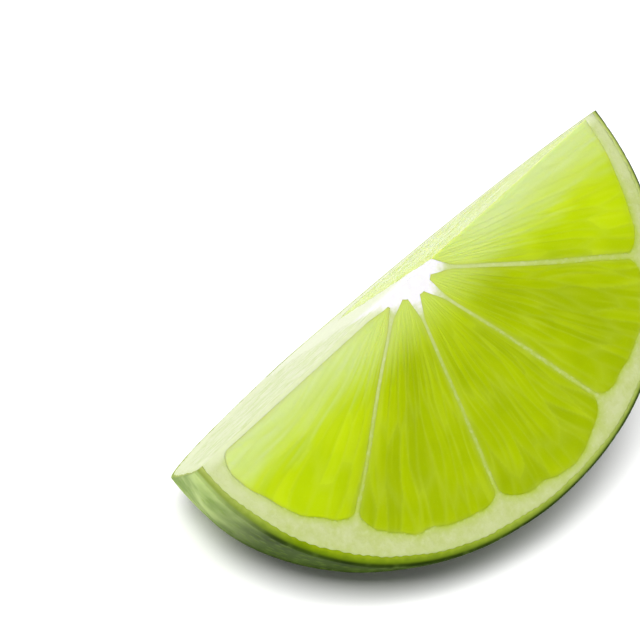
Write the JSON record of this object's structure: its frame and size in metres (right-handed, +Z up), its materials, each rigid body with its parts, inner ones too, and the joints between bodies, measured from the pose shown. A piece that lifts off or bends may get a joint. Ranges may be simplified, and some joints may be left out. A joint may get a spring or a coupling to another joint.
{
  "type": "lime wedge",
  "caption": "Cut quarter of a lime lying on its skin, with the wheel of fleshy segments, the white pith and the thin green rind.",
  "frame": {"origin": "centre of the small flat spot of the skin on which the wedge rests", "axes": "+Z up, -Y towards the viewer of the picture, +X to the right: the cut edge rises towards +X and +Y"},
  "size_m": [0.0468, 0.0492, 0.0354],
  "materials": {
    "rind": "waxy, with fine oil glands",
    "pith": "matt and slightly damp",
    "pulp": "wet and translucent"
  },
  "bodies": {
    "root": {"rind": "rind", "pith": "pith", "pulp_segment_1": "pulp", "pulp_segment_2": "pulp", "pulp_segment_3": "pulp", "pulp_segment_4": "pulp", "pulp_segment_5": "pulp"}
  },
  "joints": []
}
